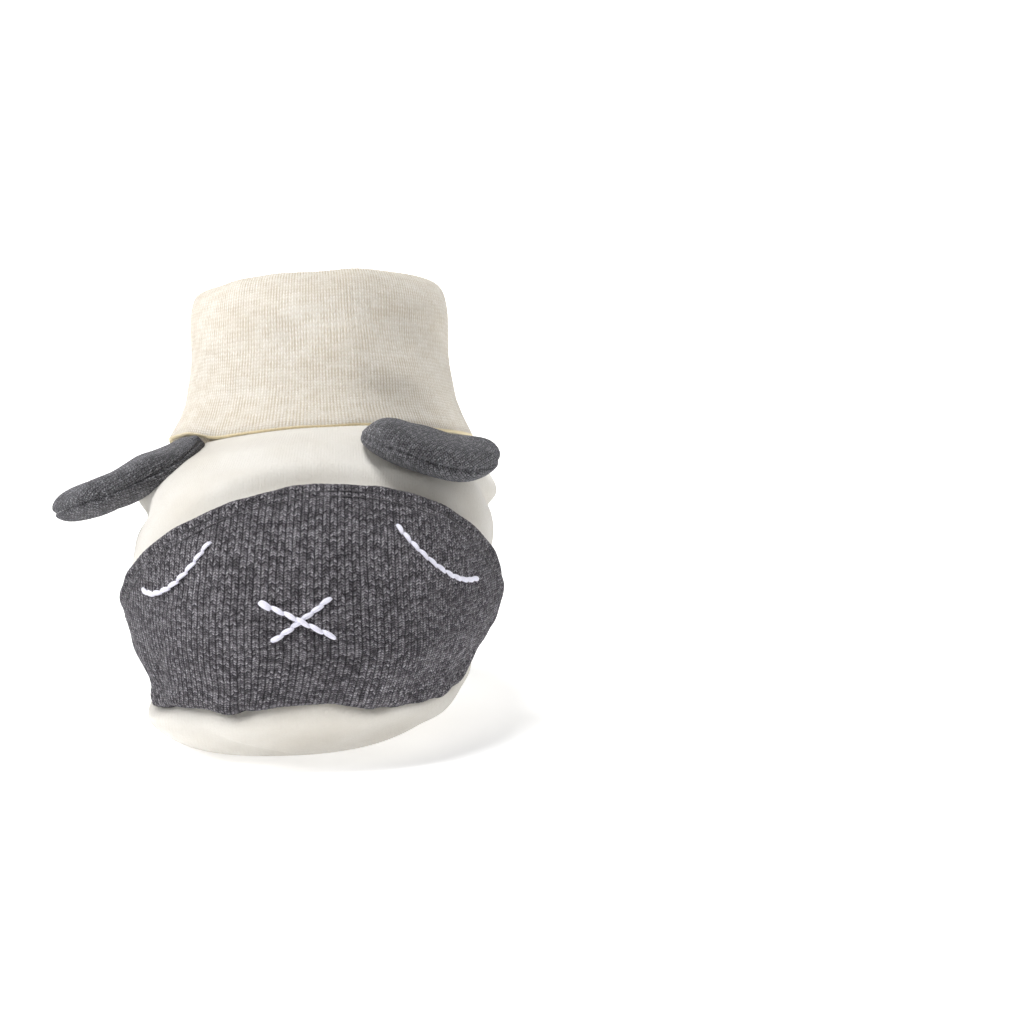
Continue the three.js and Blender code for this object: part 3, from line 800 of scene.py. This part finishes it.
def chain(name, line, links, stands_for, knot=False):
    """Embroidered stitches in a row: each is a bundle of three strands, and slants a little over the next. line is
    points of (theta degrees, t, and any extra height), and knot puts a second stitch over the first."""
    line = np.array([(*p, 0.0)[:3] for p in line])
    knots = np.linspace(0, 1, len(line))
    angle, t, extra = (spline(np.linspace(0, 1, 400), knots, line[:, k]) for k in range(3))
    angle = np.radians(angle)
    p = on_panel(angle, t, extra)
    run = run_length(p)
    rng = np.random.default_rng(len(name) * 7 + links)
    paths, radii = [], []
    for i in [*range(links), *[0] * knot]:
        start, stop = (run[-1] * (i + share) / links for share in (-STITCH_OVERLAP, 1 + STITCH_OVERLAP))
        mid = point_at(np.linspace(start, stop, len(ALONG)), run, p)
        way = mid[-1] - mid[0]
        way /= np.linalg.norm(way)
        place = [np.interp((start + stop) / 2, run, k) for k in (angle, t)]
        normal = on_panel(*place, 1.0) - on_panel(*place, 0.0)
        normal /= np.linalg.norm(normal)
        side = np.cross(way, normal)
        again = 0.35 * (len(paths) == 3 * links)  # the knot is turned and lies higher
        swing = rng.uniform(-0.05, 0.05) + again
        for strand in (-1, 0, 1):
            aside = strand * STRAND_GAP * (0.35 + 0.65 * BELLY) + swing + 0.2 * (2 * ALONG - 1)
            rise = STITCH_LIFT * BELLY + 0.12 * (1 - strand ** 2) + 0.12 * (ALONG - 0.5) + again
            paths.append(mid + side * aside[:, None] + normal * rise[:, None])
            radii.append(STRAND_RADIUS * (0.5 + 0.5 * BELLY))
    return finish_piece(tube(name, paths, radii, 10), WHITE_THREAD, stands_for)


LEFT_EYE = [(-26.6, 0.517), (-32.2, 0.447), (-38.8, 0.394), (-45.5, 0.368), (-50.5, 0.374)]
RIGHT_EYE = [(27.6, 0.548), (32.4, 0.486), (40.0, 0.421), (48, 0.381), (54.6, 0.376)]
chain("left_eye_stitches", LEFT_EYE, 9, ["left_eye_thread"])
chain("right_eye_stitches", RIGHT_EYE, 11, ["right_eye_thread"])
chain("nose_stitches_under", [(-7.6, 0.249), (0.5, 0.309), (8.8, 0.372)], 6, ["nose_thread_under"])
chain("nose_stitches_over", [(-11, 0.364), (-0.5, 0.313, 0.5), (9.9, 0.256)], 6, ["nose_thread_over"], knot=True)


def topstitch(name, setback, stands_for):
    """A row of short stitches along the panel's edge, setback mm inside it."""
    theta = np.radians(np.linspace(-77, 77, 600))
    low, high = (panel_low(theta) + panel_top(theta)) / 2, panel_top(theta)
    for _ in range(24):  # the t on each theta that is setback from the edge
        middle = (low + high) / 2
        far = from_edge(UPPER(theta, middle)) > setback
        low, high = np.where(far, middle, low), np.where(far, high, middle)
    p = on_panel(theta, (low + high) / 2, 0.12)
    run = run_length(p)
    pitch, gap, radius, points = 2.3, 0.18, 0.17, 7
    paths = [point_at(np.linspace(i * pitch + gap, (i + 1) * pitch - gap, points), run, p)
             for i in range(int(run[-1] / pitch))]
    radii = radius * (0.55 + 0.45 * np.sin(math.pi * np.linspace(0, 1, points)) ** 0.5)
    ob = tube(name, paths, [radii] * len(paths), 8)
    return finish_piece(ob, GREY_THREAD, stands_for)


topstitch("topstitch_outer", BAND, ["panel_topstitch_outer"])
topstitch("topstitch_inner", BAND + ROW_GAP, ["panel_topstitch_inner"])

# ---------------------------------------------------------------- ears
EAR_LENGTH, EAR_HALF_WIDTH, EAR_CENTRE, EAR_HALF_THICKNESS, EAR_BLUNTNESS = 29.5, 12.5, 14, 3.5, 6
EAR_LEAF, EAR_ROOT_FLATNESS, EAR_PLUMP_FROM, EAR_ROOT_CLEARANCE, EAR_ROOT_T = 1.3, 0.3, 16, 2.6, 0.925
EAR_WALE, EAR_COURSE, EAR_RIB_HEIGHT = 0.85, 0.6, 0.07
EAR_MATERIAL = 13.0  # the outline's usual distance from the centre, for the run of material over the leaf
EAR_UV_ORIGIN = 20
GAP = 0.3  # between the two leaves
FILL_LIFT = 0.7  # how far the wadding lies above the middle of the ear
ROOT_TAIL, TAIL_HALF_WIDTH = 3.6, 5.2  # the gathered end, from the hinge line to the seam on the upper


def to_cut(s, behind):
    """How far a straight cut across the ear, behind its centre, is in directions with this sine."""
    return np.where(s < -0.02, behind / np.maximum(-s, 0.02), FAR)


def hidden_plump(y):
    """The share of its full thickness that the inside of the ear has at y."""
    return EAR_ROOT_FLATNESS + (1 - EAR_ROOT_FLATNESS) * smooth(y, 0, EAR_PLUMP_FROM)


class Ear:
    """An ear is shaped flat, with y from its root to its tip, then bent along its centreline and set in place."""

    def __init__(self, side, root, heading, droop, roll, turn, curl, twist, tail, drop, sag, root_plump, dent, seed):
        root, heading, droop, roll, self.turn, self.curl, self.twist = map(
            math.radians, (root, heading, droop, roll, turn, curl, twist))
        self.side, self.seed = side, seed
        self.drop = drop  # how far the seam goes down on the ear's left edge
        self.sag = sag  # how far the ear hangs down between root and tip
        self.root_plump = root_plump  # thickness of the top leaf at the root, as a share of the full one
        self.dent = dent  # depth of the hollow across the top leaf
        self.place = offset(UPPER, np.array(root), EAR_ROOT_T, EAR_ROOT_CLEARANCE)
        turns = ((heading, "Z"), (roll, "Y"), (-droop, "X"))
        about_z, about_y, about_x = (Matrix.Rotation(angle, 3, axis) for angle, axis in turns)
        self.rotation = np.array(about_z @ about_y @ about_x)
        sewn = offset(UPPER, np.array(math.radians(tail[0])), tail[1], 0.3)
        self.tail = (sewn - self.place) @ self.rotation
        self.table = np.linspace(0, EAR_LENGTH + 1, 400)
        step = self.heading(self.table / EAR_LENGTH) * (self.table[1] - self.table[0])
        self.line = np.concatenate([[[0, 0, 0]], np.cumsum((step[1:] + step[:-1]) / 2, 0)])

    def heading(self, share):
        share = np.maximum(share, 0)
        yaw = self.turn * smooth(share, 0, 0.6)
        pitch = -self.curl * share
        return np.stack([np.sin(yaw) * np.cos(pitch), np.cos(yaw) * np.cos(pitch), np.sin(pitch)], -1)

    def bent(self, x, distance, z):
        """A point of the flat ear, at this distance from its root, where it is on the bootie, in mm."""
        share = np.clip(distance / EAR_LENGTH, 0, None)
        ahead = self.heading(share)
        at = point_at(distance, self.table, self.line) + np.clip(-distance / ROOT_TAIL, 0, 1)[..., None] * self.tail
        at[..., 2] -= self.sag * smooth(distance, 0, 8) * smooth(share, 1.1, 0.5)
        across = np.stack([ahead[..., 1], -ahead[..., 0], np.zeros_like(share)], -1)
        across /= np.linalg.norm(across, axis=-1, keepdims=True)
        angle = (self.twist * smooth(share, 0, 1))[..., None]
        across = across * np.cos(angle) + np.cross(ahead, across) * np.sin(angle)
        local = at + across * x[..., None] + np.cross(across, ahead) * z[..., None]
        return local @ self.rotation.T + self.place

    def outline(self, c, s):
        """How far the leaf's edge is from its centre: an oval, with the gathered tail running on to the seam."""
        oval = 1 / np.hypot(c / EAR_HALF_WIDTH, s / (EAR_LENGTH - EAR_CENTRE))
        cut = to_cut(s, EAR_CENTRE + ROOT_TAIL)
        stub = np.minimum(TAIL_HALF_WIDTH / np.maximum(np.abs(c), 1e-6), cut)
        sharp = np.maximum(np.minimum(oval, cut), np.where(s < -0.85, stub, 0))
        half = 8
        kernel = np.hanning(2 * half + 1)
        soft = np.convolve(np.pad(sharp[:-1], half, mode="wrap"), kernel / kernel.sum(), "valid")
        return np.append(soft, soft[0])

    def leaf(self, sign):
        """One knitted leaf: its puffed outer face, wrapped round the edge to the seam, and its hidden inner face."""
        top = sign > 0
        angle = np.linspace(0, 2 * math.pi, 481)
        c, s = np.cos(angle), np.sin(angle)
        fine = np.linspace(0, math.pi / 2, 4000)
        profile = np.stack([np.sin(fine) ** (2 / EAR_BLUNTNESS), np.cos(fine)], -1)  # outwards, and height
        run = run_length(profile * [EAR_MATERIAL, EAR_HALF_THICKNESS])
        q = np.linspace(0, run[-1], 120)
        share, height = (np.interp(q, run, profile[:, k])[:, None] for k in (0, 1))
        outline = self.outline(c, s)[None, :]
        x, y = outline * share * c, EAR_CENTRE + outline * share * s
        root_plump, full_from = (self.root_plump, 11) if top else (0.75, 9)
        plump = (root_plump + (1 - root_plump) * smooth(y, 0, full_from)) * (0.35 + 0.65 * smooth(y, -ROOT_TAIL, 1.5))
        full = GAP / 2 + (EAR_HALF_THICKNESS - GAP / 2) * plump * height
        material = q[:, None] / EAR_MATERIAL * outline
        # wales run along the ear and draw together at its root
        waist = np.interp(y, [-ROOT_TAIL, 0, 4, 9, 14], [0.38, 0.46, 0.66, 0.9, 1.0])
        wales = material * c / waist / EAR_WALE
        relief = EAR_RIB_HEIGHT * (rib(wales + 0.5) - 0.5)
        relief = relief + smooth(height, 0, 0.5) * 0.22 * ripples(
            np.stack([x, y, np.full_like(x, 5 * sign)], -1), 9, self.seed + sign)
        seam = -0.42 * bump(full, GAP / 2, 0.4) * (0.35 + 0.65 * plump) * (1 - 0.6 * self.drop * smooth(x, 1, 8))
        # the face's own normal, from the flat shape
        flat = np.stack([x, y, full], -1)
        normal = np.cross(np.gradient(flat, axis=1), np.gradient(flat, axis=0))
        size = np.linalg.norm(normal, axis=-1, keepdims=True)
        normal = np.where(size > 1e-9, normal / np.maximum(size, 1e-9), [0, 0, 1])
        normal[0] = [0, 0, 1]
        normal = np.where(normal[..., 2:] < -0.2, -normal, normal)
        radial = np.stack([c, s, np.zeros_like(c)], -1)
        moved = flat + normal * relief[..., None] + radial * seam[..., None]
        z = sign * np.maximum(moved[..., 2] - GAP / 2 + 0.02, 0.02)
        z = z - self.drop * smooth(x, -3, 9) * (1 - height ** 2)
        z = z - top * self.dent * bump(x, -3.5, 4) * smooth(y, 20, 10) * height
        outer = self.bent(moved[..., 0], moved[..., 1], z)
        inner_share = np.linspace(0.9, 0, 14)[:, None]
        x, y = outline * inner_share * c, EAR_CENTRE + outline * inner_share * s
        dome = np.sqrt(1 - (inner_share / 0.9) ** 4 * 0.98)
        hollow = GAP / 2 + (EAR_HALF_THICKNESS - GAP / 2 - EAR_LEAF) * dome * hidden_plump(y) * 0.9
        points = np.concatenate([outer, self.bent(x, y, sign * hollow)])
        u = np.concatenate([wales, x / EAR_WALE])
        v = np.concatenate([material * s, y - EAR_CENTRE]) + EAR_UV_ORIGIN
        name = f"{self.side}_ear_{'upper' if top else 'lower'}_leaf"
        ob = grid(name, points, np.stack([u, v / EAR_COURSE], -1), wrap=(False, True), poles=True, flip=not top)
        node = f"{self.side}_ear_{'top' if top else 'under'}"
        finish_piece(ob, SHADED_EAR_GREY, [node], body=None)
        start, stop = (self.bent(*np.array([0, y, 0.0])) * MM for y in (-ROOT_TAIL, 4.5))
        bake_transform(ob)

    def fill(self):
        """The wadding: a lens between the leaves."""
        angle = np.linspace(0, 2 * math.pi, 121)
        c, s = np.cos(angle), np.sin(angle)
        oval = 1 / np.hypot(c / EAR_HALF_WIDTH, s / (EAR_LENGTH - EAR_CENTRE))
        outline = np.minimum(oval, to_cut(s, EAR_CENTRE - 1))
        shares = np.linspace(0, 0.7, 16)
        rows = []
        for share, face in [(k, 1) for k in shares] + [(k, -1) for k in shares[::-1]]:
            x, y = outline * share * c, EAR_CENTRE + outline * share * s
            z = FILL_LIFT + 1.1 * hidden_plump(y) * math.sqrt(max(1 - (share / 0.71) ** 4, 0)) * face
            z = z * (1 + 0.12 * ripples(np.stack([x, y, np.zeros_like(y)], -1), 4, self.seed + 5))
            rows.append(self.bent(x, y, z))
        name = f"{self.side}_ear_fill"
        ob = grid(name, np.array(rows), wrap=(False, True), poles=True)
        finish_piece(ob, WADDING, [f"{self.side}_ear_wadding"], body=f"{self.side}_ear")


for ear in (Ear("left", root=-54, heading=110, droop=25, roll=9, turn=10, curl=-4, twist=4, tail=(-58, 0.965),
                drop=0.0, sag=1.0, root_plump=0.45, dent=0.0, seed=61),
            Ear("right", root=46, heading=-150, droop=2, roll=-9, turn=50, curl=4, twist=-16, tail=(42, 0.965),
                drop=1.4, sag=0.7, root_plump=0.65, dent=1.1, seed=71)):
    ear.leaf(1)
    ear.leaf(-1)
    ear.fill()

# ---------------------------------------------------------------- hidden seam threads, carried over from the CAD
for name in ("sole_seam_thread", "ankle_seam_thread", "heel_seam_thread"):
    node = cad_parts[name]
    node.data.materials.clear()
    node.data.materials.append(CREAM_THREAD)
